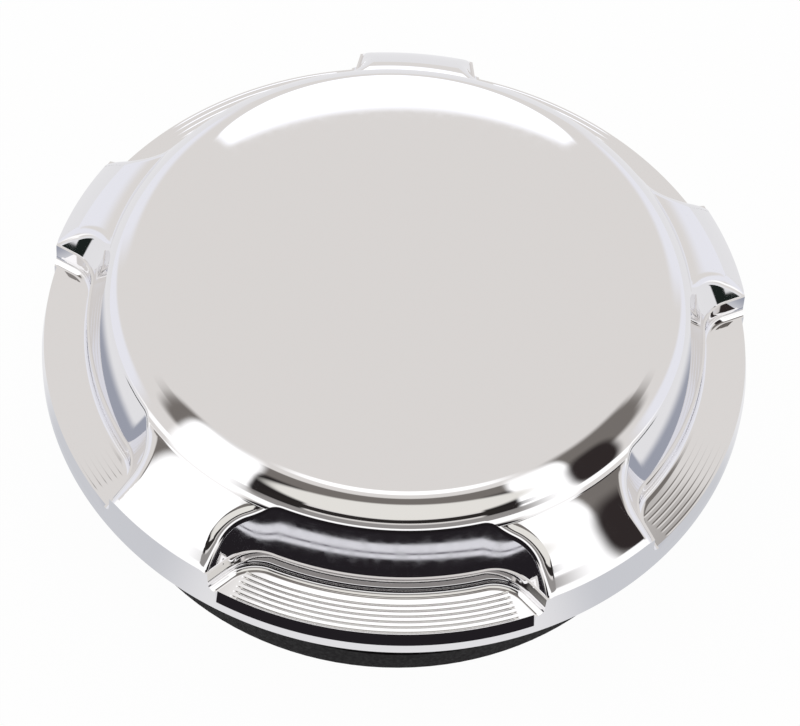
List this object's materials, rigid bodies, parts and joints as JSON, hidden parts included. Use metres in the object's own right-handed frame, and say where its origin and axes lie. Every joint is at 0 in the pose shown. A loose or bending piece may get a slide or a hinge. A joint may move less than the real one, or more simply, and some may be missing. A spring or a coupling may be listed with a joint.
{
  "type": "fuel cap",
  "caption": "Screw-in fuel cap: a chromed five-lobed dome with finger pockets turns on a black threaded plug through a slip ratchet, with a two-way vent valve inside.",
  "frame": {"origin": "centre of the plug's foot, on the surface it stands on", "axes": "+Z along the thread's axis towards the dome; -Y towards the middle of one finger pocket"},
  "size_m": [0.084, 0.084, 0.0293],
  "materials": {
    "chrome_plate": "polished",
    "black_nylon": "moulded, matt",
    "nitrile_rubber": "matt",
    "spring_steel": "bright drawn",
    "zinc_steel": "zinc plated",
    "natural_acetal": "moulded, satin",
    "brass_plate": "turned",
    "white_felt": "felt"
  },
  "bodies": {
    "plug": {"thread_plug": "black_nylon", "sealing_gasket": "nitrile_rubber", "pawl_ring": "natural_acetal", "valve_housing": "natural_acetal", "housing_o_ring": "nitrile_rubber", "valve_screws": "zinc_steel", "splash_guard": "natural_acetal", "valve_cover": "natural_acetal", "vent_filter": "white_felt", "pressure_spring": "spring_steel"},
    "cap": {"cap_shell": "chrome_plate", "ratchet_ring": "natural_acetal", "ring_keys": "zinc_steel", "snap_ring": "spring_steel", "wave_washer": "spring_steel"},
    "pressure_valve": {"pressure_plate": "brass_plate", "pressure_seal": "nitrile_rubber", "vacuum_spring": "spring_steel"},
    "vacuum_poppet": {"vacuum_valve": "natural_acetal", "vacuum_clip": "spring_steel"}
  },
  "joints": [
    {"name": "shell_turn", "type": "hinge", "parent": "plug", "child": "cap", "pos_m": [0, 0, 0.0185], "axis": [0, 0, 1], "continuous": true},
    {"name": "pressure_lift", "type": "slide", "parent": "plug", "child": "pressure_valve", "axis": [0, 0, 1], "range_m": [0, 0.0016], "stiffness_N_per_m": 200, "springref_m": -0.003, "deforming": ["pressure_spring"]},
    {"name": "vacuum_drop", "type": "slide", "parent": "pressure_valve", "child": "vacuum_poppet", "axis": [0, 0, -1], "range_m": [0, 0.001], "stiffness_N_per_m": 15, "springref_m": -0.002, "deforming": ["vacuum_spring"]}
  ]
}
